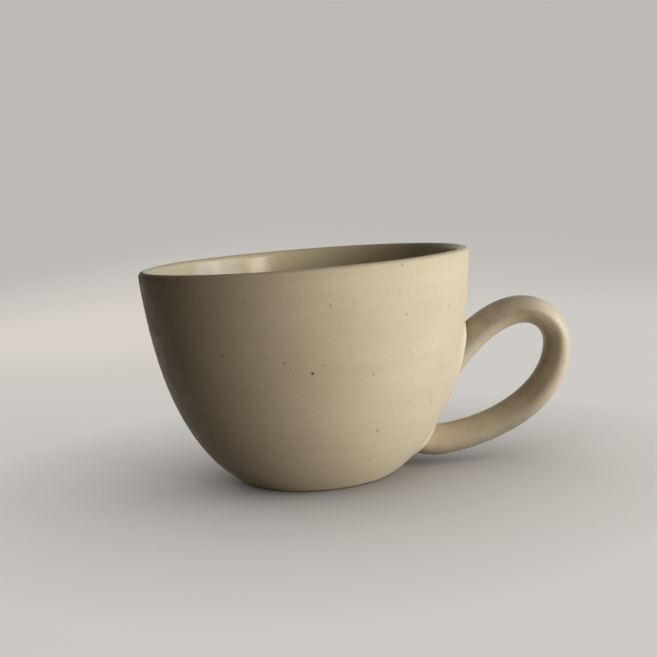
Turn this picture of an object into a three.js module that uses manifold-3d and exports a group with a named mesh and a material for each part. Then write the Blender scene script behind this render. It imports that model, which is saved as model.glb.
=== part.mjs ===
// A hand-thrown stoneware mug with a pulled strap handle, in millimetres, +Z up.
// The origin is the middle of the flat base, and the handle points along +X.
// The clay bowl is a turned profile. The strap is lofted along a loop in the XZ plane, and each of its ends
// is cut to a pad of slip that lies on the wall. Two thin coats of glaze cover the clay.

import * as THREE from 'three';
import { mergeVertices } from 'three/addons/utils/BufferGeometryUtils.js';
import loadManifold from 'manifold-3d';

// Bowl
const CUP_HEIGHT = 68; // from the table to the top of the lip
const RIM_RADIUS = 51; // outside of the glazed rim
const FOOT_RADIUS = 22.9; // edge of the bare clay base
const FLOOR_THICKNESS = 4.6; // clay under the inside floor
const LIP_THICKNESS = 1.8; // clay at the lip, under both coats

// Outer curve of the clay wall, a Bezier curve from the foot to the rim
const FOOT_FLARE_DEG = 33; // rise of the wall above the table at the foot
const FOOT_PULL = 10; // length of the control arm at the foot
const RIM_LEAN_DEG = 4.3; // lean of the wall off upright at the rim
const RIM_PULL = 50; // length of the control arm at the rim

// Glaze and slip
const COAT = 0.4; // thickness of each coat of glaze
const FIT_GAP = 0.3; // clearance between neighbouring pieces
const GLAZE_LINE = 1; // height on the clay where the outer coat begins
const SLIP_THICKNESS = 1; // pad between the wall and the strap's end
const SLIP_MARGIN = 2; // pad that shows around the strap

// Strap section with its coat, a superellipse that swells towards both ends
const HANDLE_WIDTH = 11.7; // across the loop, along Y, at mid thickness
const HANDLE_THICKNESS = 9.6; // in the plane of the loop, on both arms
const SHOULDER_THICKNESS = 8.4; // where the strap bends over, above its outermost point
const SHOULDER_RISE = 5.8; // along the strap, from its outermost point up to the shoulder's middle
const SHOULDER_SPAN = 15.4; // length over which the strap thins on each side of that
const ROOT_WIDTH = 14.2; // width at the ends
const ROOT_THICKNESS = 10; // thickness at the ends
const ROOT_SWELL = 34; // length over which an end swells
const SECTION_POWER = 1.9; // 2 is an ellipse, higher is squarer and lower is more pointed
const SECTION_LEAN = 0.18; // share by which the outer face is wider than mid thickness

// Loop of the strap's centre line
const UPPER_END_HEIGHT = 28.8; // upper end of the curve, sunk into the wall
const UPPER_END_INSET = 2.6; // how far inside the wall it starts
const UPPER_PITCH_DEG = 52.2; // climb of the strap out of the wall
const UPPER_PULL = 34; // length of its control arm
const TIP_REACH = 26.2; // outermost point, beyond the rim radius
const TIP_HEIGHT = 35.85; // height of the outermost point
const TIP_PULL_UP = 10.55; // control arm above the outermost point
const TIP_PULL_DOWN = 16; // control arm below the outermost point
const BEND_HEIGHT = 7.35; // where the lower end starts to tuck in
const BEND_OUTSET = 8; // how far outside the wall that is
const BEND_PITCH_DEG = 6; // climb of the strap there, going outwards
const BEND_PULL = 19.6; // length of its control arm
const TUCK = 6; // straight run before the tucked end turns up
const LOWER_END_HEIGHT = 9.8; // lower end, sunk into the wall
const LOWER_END_INSET = 4.2; // how far inside the wall it ends

// Fineness of the facets
const TURN_SEGMENTS = 48;
const WALL_STEPS = 11;
const CROWN_STEPS = 6;
const STRAP_STEPS = 40;
const STRAP_SIDES = 12;
const BISECTIONS = 40;

// Finishes: colour and roughness
const CLAY = { color: 0xa88a68, roughness: 0.9 };
const SLIP = { color: 0xb49a78, roughness: 0.95 };
const SATIN_GLAZE = { color: 0xd8ccb0, roughness: 0.5 };
const GLOSS_GLAZE = { color: 0xe0d8c4, roughness: 0.2 };

const wasm = await loadManifold();
wasm.setup();

const radians = THREE.MathUtils.degToRad;
const skin = FIT_GAP + COAT;
const lipRadius = LIP_THICKNESS / 2;
const lipCentre = new THREE.Vector2(RIM_RADIUS - skin - lipRadius, CUP_HEIGHT - skin - lipRadius);

/** A step of the given length in the direction of an angle above the horizontal. */
function arm(length, angle) {
  return new THREE.Vector2(length * Math.cos(angle), length * Math.sin(angle));
}

// The clay wall's outer curve, in radius and height.
const footPoint = new THREE.Vector2(FOOT_RADIUS, 0);
const rimPoint = lipCentre.clone().add(arm(lipRadius, radians(-RIM_LEAN_DEG)));
const wallCurve = new THREE.CubicBezierCurve(
  footPoint,
  footPoint.clone().add(arm(FOOT_PULL, radians(FOOT_FLARE_DEG))),
  rimPoint.clone().sub(arm(RIM_PULL, radians(90 - RIM_LEAN_DEG))),
  rimPoint,
);

/** The point of the wall at parameter u, moved outwards by an offset along the wall's normal. */
function outerPoint(u, offset) {
  const along = wallCurve.getTangent(u);
  const outwards = new THREE.Vector2(along.y, -along.x);
  return wallCurve.getPoint(u).addScaledVector(outwards, offset);
}

/** The point of the inside wall at parameter u, moved into the cavity by an offset. */
function innerPoint(u, offset) {
  const floorWall = FLOOR_THICKNESS / Math.cos(radians(FOOT_FLARE_DEG));
  const thickness = THREE.MathUtils.lerp(floorWall, LIP_THICKNESS, u);
  return outerPoint(u, -thickness - offset);
}

/** The parameter at which a curve that rises with u reaches a height. */
function parameterAt(pointAt, height) {
  let low = 0;
  let high = 1;
  for (let step = 0; step < BISECTIONS; step += 1) {
    const middle = (low + high) / 2;
    if (pointAt(middle).y < height) low = middle;
    else high = middle;
  }
  return low;
}

/** The clay wall's outer radius at a height. */
function wallRadius(height) {
  return wallCurve.getPoint(parameterAt((u) => wallCurve.getPoint(u), height)).x;
}

/** Points of a wall surface from one parameter to another, both included. */
function sweepWall(pointAt, from, to) {
  const parameter = (i) => THREE.MathUtils.lerp(from, to, i / WALL_STEPS);
  return Array.from({ length: WALL_STEPS + 1 }, (_, i) => pointAt(parameter(i)));
}

/** The half circle over the lip, from the outside to the inside, without its first point. */
function crown(offset) {
  return Array.from({ length: CROWN_STEPS }, (_, i) => {
    const angle = Math.PI * ((i + 1) / CROWN_STEPS) - radians(RIM_LEAN_DEG);
    return arm(lipRadius + offset, angle).add(lipCentre);
  });
}

/** A profile turned about the Z axis. */
function turned(profile) {
  return new THREE.LatheGeometry(profile, TURN_SEGMENTS).rotateX(Math.PI / 2);
}

/** The space inside the wall's outer surface, grown by an offset, which trims what sits on the wall. */
function wallTool(offset) {
  const side = sweepWall((u) => outerPoint(u, offset), 0, 1);
  const bottom = new THREE.Vector2(0, side[0].y);
  const top = new THREE.Vector2(0, side[WALL_STEPS].y);
  return turned([bottom, ...side, top]);
}

/** The strap's centre line, from inside the wall at the top to inside the wall at the bottom. */
function loopPath() {
  const place = (point) => new THREE.Vector3(point.x, 0, point.y);
  const upperEnd = new THREE.Vector2(wallRadius(UPPER_END_HEIGHT) - UPPER_END_INSET, UPPER_END_HEIGHT);
  const tip = new THREE.Vector2(RIM_RADIUS + TIP_REACH, TIP_HEIGHT);
  const bend = new THREE.Vector2(wallRadius(BEND_HEIGHT) + BEND_OUTSET, BEND_HEIGHT);
  const lowerEnd = new THREE.Vector2(wallRadius(LOWER_END_HEIGHT) - LOWER_END_INSET, LOWER_END_HEIGHT);
  const upperPitch = radians(UPPER_PITCH_DEG);
  const bendPitch = radians(BEND_PITCH_DEG);
  const start = upperEnd.clone().sub(arm(ROOT_WIDTH, upperPitch / 2));
  const startArm = upperEnd.clone().sub(arm(ROOT_WIDTH / 2, upperPitch));
  const upperArm = upperEnd.clone().add(arm(UPPER_PULL, upperPitch));
  const aboveTip = tip.clone().add(arm(TIP_PULL_UP, Math.PI / 2));
  const belowTip = tip.clone().sub(arm(TIP_PULL_DOWN, Math.PI / 2));
  const bendArm = bend.clone().add(arm(BEND_PULL, bendPitch));
  const tuck = bend.clone().sub(arm(TUCK, bendPitch));
  const path = new THREE.CurvePath();
  path.add(new THREE.QuadraticBezierCurve3(place(start), place(startArm), place(upperEnd)));
  path.add(new THREE.CubicBezierCurve3(place(upperEnd), place(upperArm), place(aboveTip), place(tip)));
  path.add(new THREE.CubicBezierCurve3(place(tip), place(belowTip), place(bendArm), place(bend)));
  path.add(new THREE.QuadraticBezierCurve3(place(bend), place(tuck), place(lowerEnd)));
  return path;
}

const loop = loopPath();
const [, tipLength] = loop.getCurveLengths();
const tipShare = tipLength / loop.getLength();

/** A signed power, for the superellipse. */
function bulge(value) {
  return Math.sign(value) * Math.abs(value) ** (2 / SECTION_POWER);
}

/** The clay strap as a closed loft along the loop or a share of it, with its section grown by an offset. */
function strap(offset, from = 0, to = 1) {
  const steps = Math.ceil(STRAP_STEPS * (to - from));
  const positions = [];
  const index = [];
  for (let i = 0; i <= steps; i += 1) {
    const t = THREE.MathUtils.lerp(from, to, i / steps);
    const centre = loop.getPoint(t);
    const along = loop.getTangent(t);
    const fromEnd = Math.min(t, 1 - t) * loop.getLength();
    const swell = Math.max(0, 1 - fromEnd / ROOT_SWELL) ** 2;
    const halfWidth = THREE.MathUtils.lerp(HANDLE_WIDTH, ROOT_WIDTH, swell) / 2 - skin + offset;
    const fromShoulder = t * loop.getLength() - tipLength + SHOULDER_RISE;
    const thinning = Math.exp(-((fromShoulder / SHOULDER_SPAN) ** 2));
    const thickness = THREE.MathUtils.lerp(HANDLE_THICKNESS, SHOULDER_THICKNESS, thinning);
    const halfThickness = THREE.MathUtils.lerp(thickness, ROOT_THICKNESS, swell) / 2 - skin + offset;
    for (let j = 0; j < STRAP_SIDES; j += 1) {
      const angle = (2 * Math.PI * j) / STRAP_SIDES;
      const outwards = bulge(Math.sin(angle));
      const across = halfWidth * bulge(Math.cos(angle)) * (1 + SECTION_LEAN * outwards);
      const through = halfThickness * outwards;
      positions.push(centre.x - along.z * through, across, centre.z + along.x * through);
    }
  }
  const ring = (i, j) => i * STRAP_SIDES + (j % STRAP_SIDES);
  for (let i = 0; i < steps; i += 1) {
    for (let j = 0; j < STRAP_SIDES; j += 1) {
      index.push(ring(i, j), ring(i, j + 1), ring(i + 1, j));
      index.push(ring(i, j + 1), ring(i + 1, j + 1), ring(i + 1, j));
    }
  }
  for (let j = 1; j < STRAP_SIDES - 1; j += 1) {
    index.push(ring(0, 0), ring(0, j + 1), ring(0, j));
    index.push(ring(steps, 0), ring(steps, j), ring(steps, j + 1));
  }
  const geometry = new THREE.BufferGeometry();
  geometry.setAttribute('position', new THREE.Float32BufferAttribute(positions, 3));
  geometry.setIndex(index);
  return geometry;
}

/** A closed geometry as a solid that can be joined and cut. */
function solid(geometry) {
  const bare = geometry.clone();
  bare.deleteAttribute('normal');
  bare.deleteAttribute('uv');
  const merged = mergeVertices(bare);
  const corners = merged.index.array;
  const triVerts = [];
  for (let i = 0; i < corners.length; i += 3) {
    const [a, b, c] = corners.slice(i, i + 3);
    if (a !== b && b !== c && c !== a) triVerts.push(a, b, c);
  }
  const mesh = new wasm.Mesh({
    numProp: 3,
    vertProperties: merged.attributes.position.array,
    triVerts: new Uint32Array(triVerts),
  });
  return new wasm.Manifold(mesh);
}

/** A joined or cut solid as a geometry. */
function geometryOf(shape) {
  const mesh = shape.getMesh();
  const geometry = new THREE.BufferGeometry();
  geometry.setAttribute('position', new THREE.BufferAttribute(mesh.vertProperties, 3));
  geometry.setIndex(new THREE.BufferAttribute(mesh.triVerts, 1));
  geometry.computeVertexNormals();
  return geometry;
}

/** The thrown bowl: flat base, outer wall, lip, inside wall and floor. */
function cupBodyGeometry() {
  const outside = sweepWall((u) => outerPoint(u, 0), 0, 1);
  const inside = sweepWall((u) => innerPoint(u, 0), 1, 0).slice(1);
  const axisBottom = new THREE.Vector2(0, 0);
  const axisFloor = new THREE.Vector2(0, inside[WALL_STEPS - 1].y);
  return turned([axisBottom, ...outside, ...crown(0), ...inside, axisFloor]);
}

/** The liner coat on the floor and the inside wall, up to a seam just under the lip. */
function innerGlazeGeometry() {
  const seam = parameterAt((u) => innerPoint(u, 0), lipCentre.y - FIT_GAP);
  const under = sweepWall((u) => innerPoint(u, FIT_GAP), 0, seam);
  const over = sweepWall((u) => innerPoint(u, skin), seam, 0);
  const axisUnder = new THREE.Vector2(0, under[0].y);
  const axisOver = new THREE.Vector2(0, over[WALL_STEPS].y);
  return turned([axisUnder, ...under, ...over, axisOver]);
}

/** The coat on the outer wall and over the lip, as a ring that is still whole at the handle. */
function wallCoat() {
  const start = parameterAt((u) => outerPoint(u, 0), GLAZE_LINE);
  const surface = (offset) => [...sweepWall((u) => outerPoint(u, offset), start, 1), ...crown(offset)];
  const over = surface(skin);
  const under = surface(FIT_GAP).reverse();
  return solid(turned([...over, ...under, over[0]]));
}

const padTop = FIT_GAP + SLIP_THICKNESS;

/** The space of both pads and the strap together, grown by an offset. */
function handleSpace(offset) {
  const pads = solid(wallTool(padTop + offset)).intersect(solid(strap(SLIP_MARGIN + offset)));
  return pads.add(solid(strap(offset)));
}

/** The outer coat: the wall's ring opened at the handle, and the sleeve over the pads and the strap. */
function outerGlazeGeometry() {
  const sleeve = handleSpace(skin).subtract(solid(wallTool(FIT_GAP + COAT / 2)));
  return geometryOf(wallCoat().add(sleeve).subtract(handleSpace(FIT_GAP)));
}

/** The strap, cut at both ends to the face of its pad. */
function handleGeometry() {
  return geometryOf(solid(strap(0)).subtract(solid(wallTool(padTop + FIT_GAP))));
}

/** The pad of slip under the end of one share of the loop. */
function slipGeometry(from, to) {
  const layer = solid(wallTool(padTop)).subtract(solid(wallTool(FIT_GAP)));
  return geometryOf(layer.intersect(solid(strap(SLIP_MARGIN, from, to))));
}

/** A named piece with its own material. */
function piece(name, geometry, finish) {
  const mesh = new THREE.Mesh(geometry, new THREE.MeshStandardMaterial({ ...finish, metalness: 0 }));
  mesh.name = name;
  return mesh;
}

const mug = new THREE.Group();
mug.name = 'mug';
mug.add(piece('cup_body', cupBodyGeometry(), CLAY));
mug.add(piece('handle', handleGeometry(), CLAY));
mug.add(piece('upper_slip_joint', slipGeometry(0, tipShare), SLIP));
mug.add(piece('lower_slip_joint', slipGeometry(tipShare, 1), SLIP));
mug.add(piece('outer_glaze', outerGlazeGeometry(), SATIN_GLAZE));
mug.add(piece('inner_glaze', innerGlazeGeometry(), GLOSS_GLAZE));

export default mug;
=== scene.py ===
"""A hand-thrown stoneware mug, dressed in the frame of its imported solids.

The clay bowl, the outer coat and the liner are profiles turned about Z. The handle is an oval section
carried along a loop, and each of its joints is a bead of slip carried round the handle's root. Lengths are
in metres.
"""

import logging
import math
from dataclasses import dataclass, field
from enum import Enum

import bpy
import numpy as np
from mathutils import Matrix, Vector


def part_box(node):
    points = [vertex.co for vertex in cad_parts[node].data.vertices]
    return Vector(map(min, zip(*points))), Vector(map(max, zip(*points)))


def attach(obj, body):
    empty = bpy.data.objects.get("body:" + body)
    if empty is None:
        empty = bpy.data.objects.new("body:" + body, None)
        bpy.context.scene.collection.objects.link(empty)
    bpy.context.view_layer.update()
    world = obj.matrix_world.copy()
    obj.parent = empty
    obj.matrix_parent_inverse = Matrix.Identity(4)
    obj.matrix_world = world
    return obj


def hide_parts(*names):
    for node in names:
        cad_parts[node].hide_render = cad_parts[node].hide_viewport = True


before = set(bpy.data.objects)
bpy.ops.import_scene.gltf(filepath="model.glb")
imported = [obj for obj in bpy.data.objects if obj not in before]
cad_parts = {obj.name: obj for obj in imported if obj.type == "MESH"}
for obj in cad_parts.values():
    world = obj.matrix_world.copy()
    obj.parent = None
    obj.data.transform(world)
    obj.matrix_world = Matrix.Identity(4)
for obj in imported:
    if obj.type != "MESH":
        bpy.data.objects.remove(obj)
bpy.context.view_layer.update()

LOG = logging.getLogger("mug")
BODY = "root"
MM = 0.001
PHOTO_SIDE = 657
RIPPLE_TURNS = 3
RIPPLE_SPREAD = (0.7, 1.5)
SPECK_CORE = 0.25
TINY = 1e-12

Array = np.ndarray
Colour = tuple[float, float, float]
Span = tuple[float, float]
Socket = bpy.types.NodeSocket

# Ranges of noise over which a pattern rises from none to full
MIDDLE_BAND: Span = (0.3, 0.7)
UPPER_BAND: Span = (0.35, 0.7)
LOWER_BAND: Span = (0.3, 0.65)


class Slot(Enum):
    """The record's material slots."""

    BARE_CLAY = "bare_clay"
    SATIN_GLAZE = "satin_glaze"
    GLOSS_GLAZE = "gloss_glaze"


class HandleEnd(Enum):
    """The two ends of the handle's loop, with the share of its length where each begins."""

    UPPER = 0.0
    LOWER = 1.0


def bezier(controls: Array, u: Array) -> Array:
    """Points of a Bezier curve, by mixing neighbouring control points until one is left.

    Args:
        controls: Control points, one a row.
        u: Parameters from 0 to 1.

    Returns:
        One point a row.
    """
    share = np.asarray(u, float)[:, None]
    points = [np.broadcast_to(control, (len(share), controls.shape[1])) for control in controls]
    while len(points) > 1:
        points = [(1 - share) * low + share * high for low, high in zip(points, points[1:])]
    return points[0]


def unit(vectors: Array) -> Array:
    """Vectors divided by their lengths."""
    return vectors / np.linalg.norm(vectors, axis=-1, keepdims=True)


def around(columns: int) -> Array:
    """Even angles of a closed ring."""
    return np.linspace(0, 2 * math.pi, columns, endpoint=False)


def bell(values: Array) -> Array:
    """A bell curve: the exponential of minus the square, 1 at 0."""
    return np.exp(-(values**2))


def step(length: float, degrees: float) -> Array:
    """A step of a length at an angle above the horizontal, in radius and height."""
    angle = math.radians(degrees)
    return length * np.array([math.cos(angle), math.sin(angle)])


def ramp(values: Array, start: float, end: float) -> Array:
    """A smooth rise from 0 at the start to 1 at the end, or a fall where the end comes first."""
    share = np.clip((values - start) / (end - start), 0, 1)
    return share * share * (3 - 2 * share)


def ripple(theta: Array, along: Array, waves: int, wavelength: float, seed: int) -> Array:
    """Uneven ripples that close round the axis: a mean of sine waves with drawn phases.

    Each wave runs along the profile near the given wavelength and turns a whole number of times round the
    axis, so the sum has no seam. The result lies between 0 and 1.

    Args:
        theta: Angle round the axis.
        along: Distance along the profile.
        waves: Number of sine waves.
        wavelength: Typical wavelength along the profile.
        seed: Seed of the drawn phases.

    Returns:
        The ripples, with the shape of theta and along together.
    """
    draw = np.random.default_rng(seed)
    turns = draw.integers(-RIPPLE_TURNS, RIPPLE_TURNS + 1, waves)
    rates = 2 * math.pi / (wavelength * draw.uniform(*RIPPLE_SPREAD, waves))
    phases = draw.uniform(0, 2 * math.pi, waves)
    total = np.zeros(np.broadcast(theta, along).shape)
    for whole, rate, phase in zip(turns, rates, phases):
        total += np.sin(rate * along + whole * theta + phase)
    return 0.5 + 0.5 * total / waves


def add_object(name: str, data: bpy.types.ID) -> bpy.types.Object:
    """A new object, linked into the scene.

    Args:
        name: The object's name.
        data: Its mesh, lamp or camera.

    Returns:
        The object.
    """
    made = bpy.data.objects.new(name, data)
    bpy.context.scene.collection.objects.link(made)
    return made


@dataclass
class Grid:
    """A surface as rows of points whose columns close into rings.

    Rows either close too, which makes a ring, or end in a pole at each end, which makes a ball. Values can
    be kept on the points for the finish to read.
    """

    name: str
    points: Array
    closed_rows: bool = True
    marks: dict[str, Array] = field(default_factory=dict)

    def faces(self) -> list[list[int]]:
        """Quads between neighbouring rows and columns, and fans of triangles to the poles.

        Returns:
            Corner numbers of each face.
        """
        rows, columns = self.points.shape[:2]
        number = np.arange(rows * columns).reshape(rows, columns)
        nearer = number if self.closed_rows else number[:-1]
        farther = np.roll(number, -1, axis=0)[: len(nearer)]
        sides = [nearer, np.roll(nearer, -1, 1), np.roll(farther, -1, 1), farther]
        quads = np.stack(sides, -1).reshape(-1, 4)
        if self.closed_rows:
            return quads.tolist()
        first, last = number[0], number[-1]
        low_pole = np.full(columns, rows * columns)
        high_pole = low_pole + 1
        low_fan = np.stack([low_pole, np.roll(first, -1), first], -1)
        high_fan = np.stack([high_pole, last, np.roll(last, -1)], -1)
        return quads.tolist() + low_fan.tolist() + high_fan.tolist()

    def corners(self) -> Array:
        """All points, with the poles last at the middles of the end rows.

        Returns:
            Points, one a row.
        """
        flat = self.points.reshape(-1, 3)
        if self.closed_rows:
            return flat
        return np.concatenate([flat, self.points[[0, -1]].mean(axis=1)])

    def volume(self, corners: Array, faces: list[list[int]]) -> float:
        """Signed volume, as the sum of the tetrahedra from the origin to each triangle.

        Args:
            corners: Points, one a row.
            faces: Corner numbers of each face.

        Returns:
            The volume, which is negative where the faces point inwards.
        """
        fans = np.array([face[:3] for face in faces] + [[f[0], f[2], f[3]] for f in faces if len(f) == 4])
        a, b, c = (corners[fans[:, k]] for k in range(3))
        return float(np.einsum("ij,ij->", a, np.cross(b, c)) / 6)

    def make(self) -> bpy.types.Object:
        """Makes the mesh object, smooth, with its faces pointing outwards.

        Returns:
            The linked object, at the origin.
        """
        corners = self.corners()
        faces = self.faces()
        if self.volume(corners, faces) < 0:
            faces = [face[::-1] for face in faces]
        mesh = bpy.data.meshes.new(self.name)
        mesh.from_pydata(corners.tolist(), [], faces)
        mesh.shade_smooth()
        for label, values in self.marks.items():
            kept = np.zeros(len(corners), np.float32)
            kept[: values.size] = values.ravel()
            mesh.attributes.new(label, "FLOAT", "POINT").data.foreach_set("value", kept)
        mesh.update()
        return add_object(self.name, mesh)


def turn(profile: Array, theta: Array, inwards: Array) -> Array:
    """A profile turned about Z, with each point pushed along the profile's own normal.

    Args:
        profile: Radius and height, one point a row.
        theta: Angles round the axis.
        inwards: Depth of the push at each profile point and angle, against the outward normal.

    Returns:
        Points, profile by angle by 3.
    """
    along = unit(np.gradient(profile, axis=0) + TINY)
    normal = np.stack([along[:, 1], -along[:, 0]], 1)
    moved = profile[:, None] - normal[:, None] * inwards[..., None]
    radius, height = moved[..., 0], moved[..., 1]
    return np.stack([radius * np.cos(theta), radius * np.sin(theta), height], -1)


def arc_length(profile: Array) -> Array:
    """Distance along a row of points from its first one."""
    return np.r_[0, np.cumsum(np.linalg.norm(np.diff(profile, axis=0), axis=1))]


def resample(points: Array, length: Array, places: Array) -> Array:
    """Points at given distances along a row of points, by dividing its steps in proportion.

    Args:
        points: Radius and height, one point a row.
        length: Distance of each of them along the row.
        places: The distances wanted.

    Returns:
        Radius and height, one point a row.
    """
    return np.stack([np.interp(places, length, column) for column in points.T], 1)


class Piece:
    """A sub-assembly of the mug, which builds its surface and dresses the finished piece."""

    def build(self) -> Grid:
        """The surface, which each kind of piece works out for itself."""
        raise NotImplementedError

    def dress(self, material: bpy.types.Material, slot: Slot, *nodes: str) -> None:
        """Makes the piece, with its material, its body and the solids that it stands for.

        Args:
            material: Its finish.
            slot: The record's slot of that finish; not used.
            nodes: Names of the solids that it replaces.
        """
        piece = self.build().make()
        piece.data.materials.append(material)
        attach(piece, BODY)
        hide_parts(*nodes)
        LOG.info("%s: %d faces, stands for %s", piece.name, len(piece.data.polygons), ", ".join(nodes))


@dataclass(frozen=True)
class Wall:
    """The turned wall in radius and height, from which every piece takes its place.

    The clay's outer curve is a cubic Bezier from the foot's edge to the rim. The inside lies one wall
    thickness further in, which thins from the floor to the lip, and a half circle joins them over the lip.
    """

    height: float
    rim_radius: float
    foot_radius: float = 22.9 * MM
    floor_thickness: float = 4.6 * MM
    lip_thickness: float = 1.8 * MM
    coat: float = 0.4 * MM
    fit_gap: float = 0.3 * MM
    glaze_line: float = 1.0 * MM
    foot_flare_deg: float = 33.0
    foot_pull: float = 10 * MM
    rim_lean_deg: float = 4.3
    rim_pull: float = 50 * MM
    seam_sink: float = 0.12 * MM
    seam_share: float = 0.58
    seam_blend: float = 0.16
    ring_depth: float = 0.07 * MM
    dent_depth: float = 0.14 * MM
    dents_round: int = 3
    wobble_depth: float = 0.2 * MM
    relief_rise: float = 0.16 * MM
    samples: int = 600

    @property
    def skin(self) -> float:
        """Distance from the clay to the outside of a coat."""
        return self.fit_gap + self.coat

    @property
    def lip_radius(self) -> float:
        """Radius of the clay lip's round."""
        return self.lip_thickness / 2

    @property
    def lip_centre(self) -> Array:
        """Middle of the lip's round."""
        reach = self.skin + self.lip_radius
        return np.array([self.rim_radius - reach, self.height - reach])

    def controls(self) -> Array:
        """The control points of the clay's outer curve.

        Returns:
            Radius and height of the four points, one a row.
        """
        foot = np.array([self.foot_radius, 0.0])
        rim = self.lip_centre + step(self.lip_radius, -self.rim_lean_deg)
        foot_arm = foot + step(self.foot_pull, self.foot_flare_deg)
        rim_arm = rim - step(self.rim_pull, 90 - self.rim_lean_deg)
        return np.array([foot, foot_arm, rim_arm, rim])

    def outer(self, u: Array, offset: Array | float) -> Array:
        """The outer curve at u, moved outwards along its normal.

        Args:
            u: Parameters from 0 at the foot to 1 at the rim.
            offset: Distance outwards.

        Returns:
            Radius and height, one point a row.
        """
        controls = self.controls()
        along = unit(bezier(np.diff(controls, axis=0), u))
        normal = np.stack([along[:, 1], -along[:, 0]], 1)
        return bezier(controls, u) + normal * np.broadcast_to(offset, u.shape)[:, None]

    def inner(self, u: Array, offset: Array | float) -> Array:
        """The inside wall at u, moved into the cavity.

        The wall's thickness falls evenly from the floor to the lip.

        Args:
            u: Parameters from 0 at the floor to 1 at the rim.
            offset: Distance into the cavity.

        Returns:
            Radius and height, one point a row.
        """
        floor_wall = self.floor_thickness / math.cos(math.radians(self.foot_flare_deg))
        thickness = floor_wall + (self.lip_thickness - floor_wall) * u
        return self.outer(u, -thickness - offset)

    def crown(self, share: Array, offset: Array | float) -> Array:
        """The half circle over the lip.

        Args:
            share: Share of the half turn, from the outside at 0 to the inside at 1.
            offset: Distance out from the clay.

        Returns:
            Radius and height, one point a row.
        """
        angle = math.pi * share - math.radians(self.rim_lean_deg)
        reach = self.lip_radius + np.broadcast_to(offset, share.shape)
        return self.lip_centre + reach[:, None] * np.stack([np.cos(angle), np.sin(angle)], 1)

    def parameter_at(self, height: float) -> float:
        """The parameter at which the clay's outer curve reaches a height."""
        u = np.linspace(0, 1, self.samples)
        return float(np.interp(height, self.outer(u, 0)[:, 1], u))

    def radius_at(self, height: Array | float, offset: float) -> Array:
        """Radius of the outer surface at a height, with an offset along its normal."""
        points = self.outer(np.linspace(0, 1, self.samples), offset)
        return np.interp(height, points[:, 1], points[:, 0])

    def clearance(self, points: Array) -> Array:
        """Height of points above the glazed wall: their radial distance times the normal's radial share.

        Args:
            points: Points in space, with three numbers on the last axis.

        Returns:
            Distances, negative inside the wall.
        """
        u = np.linspace(0, 1, self.samples)
        surface = self.outer(u, self.skin)
        outwards = (surface - self.outer(u, 0))[:, 0] / self.skin
        height = points[..., 2]
        radius = np.hypot(points[..., 0], points[..., 1])
        wall = np.interp(height, surface[:, 1], surface[:, 0])
        return (radius - wall) * np.interp(height, surface[:, 1], outwards)

    def relief(self, theta: Array, height: Array) -> Array:
        """Depth of the thrown surface under its true curve: fine rings, shallow dents and a slow wobble.

        The sum is lowered by the rise, so that the surface lies about as much above the curve as under it.

        Args:
            theta: Angle round the axis.
            height: Height above the table.

        Returns:
            Depths, negative where the surface stands above the curve.
        """
        rings = ripple(theta, height, waves=9, wavelength=3.4 * MM, seed=3)
        dents = ripple(self.dents_round * theta, height, waves=6, wavelength=30 * MM, seed=15)
        wobble = ripple(theta, height, waves=5, wavelength=46 * MM, seed=8)
        depth = self.ring_depth * rings + self.dent_depth * dents + self.wobble_depth * wobble
        return depth - self.relief_rise


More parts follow.
